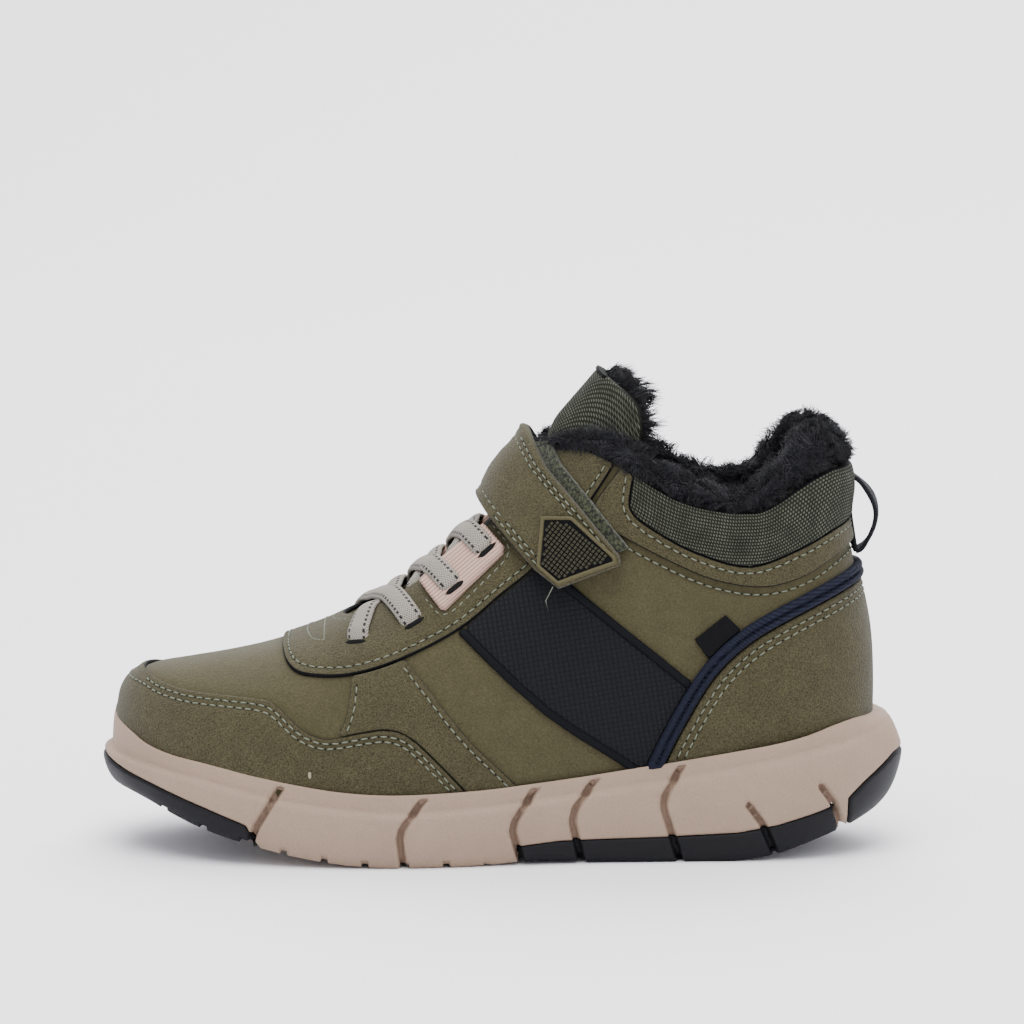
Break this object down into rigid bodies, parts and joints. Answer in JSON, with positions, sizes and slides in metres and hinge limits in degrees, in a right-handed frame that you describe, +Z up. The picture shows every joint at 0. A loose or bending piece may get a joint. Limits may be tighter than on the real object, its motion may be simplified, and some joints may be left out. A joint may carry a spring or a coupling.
{
  "type": "child's mid boot",
  "caption": "Left mid boot for a child with a deep pile lining, a closing strap, elastic laces and a cupped foam sole with rubber toe and heel treads.",
  "frame": {"origin": "centre of the boot's box, on the floor under the sole", "axes": "+X from toe to heel, +Y from the outer side of the foot to the inner side, +Z up"},
  "size_m": [0.233, 0.0848, 0.1403],
  "materials": {
    "midsole_foam": "moulded foam, fine texture",
    "tread_rubber": "moulded, matt",
    "smooth_nubuck": "fine nap, waxed",
    "nubuck": "nubuck nap",
    "ripstop": "coated square weave",
    "seam_tape": "woven tape",
    "woven_mesh": "coarse weave",
    "pile": "deep pile",
    "moulded_patch": "moulded squares",
    "ribbed_tape": "ribbed",
    "elastic_lace": "flat braid with dark flecks",
    "webbing": "narrow webbing"
  },
  "bodies": {
    "root": {"midsole": "midsole_foam", "outsole_toe": "tread_rubber", "outsole_heel": "tread_rubber", "outsole_rear": "tread_rubber", "insole": "pile", "upper": "smooth_nubuck", "toe_guard": "nubuck", "eyestay": "nubuck", "quarter_patch_outer": "nubuck", "quarter_patch_inner": "nubuck", "dark_panel_outer": "ripstop", "dark_panel_inner": "ripstop", "heel_piping": "seam_tape", "heel_counter": "nubuck", "collar_band_outer": "nubuck", "collar_band_inner": "nubuck", "collar_pad_outer": "woven_mesh", "collar_pad_inner": "woven_mesh", "pile_cuff": "pile", "tongue": "woven_mesh", "tongue_pile": "pile", "strap": "nubuck", "strap_landing": "pile", "strap_patch": "moulded_patch", "lace_holder_outer": "ribbed_tape", "lace_holder_inner": "ribbed_tape", "lace": "elastic_lace", "pull_loop": "webbing", "size_tag": "webbing"}
  },
  "joints": []
}
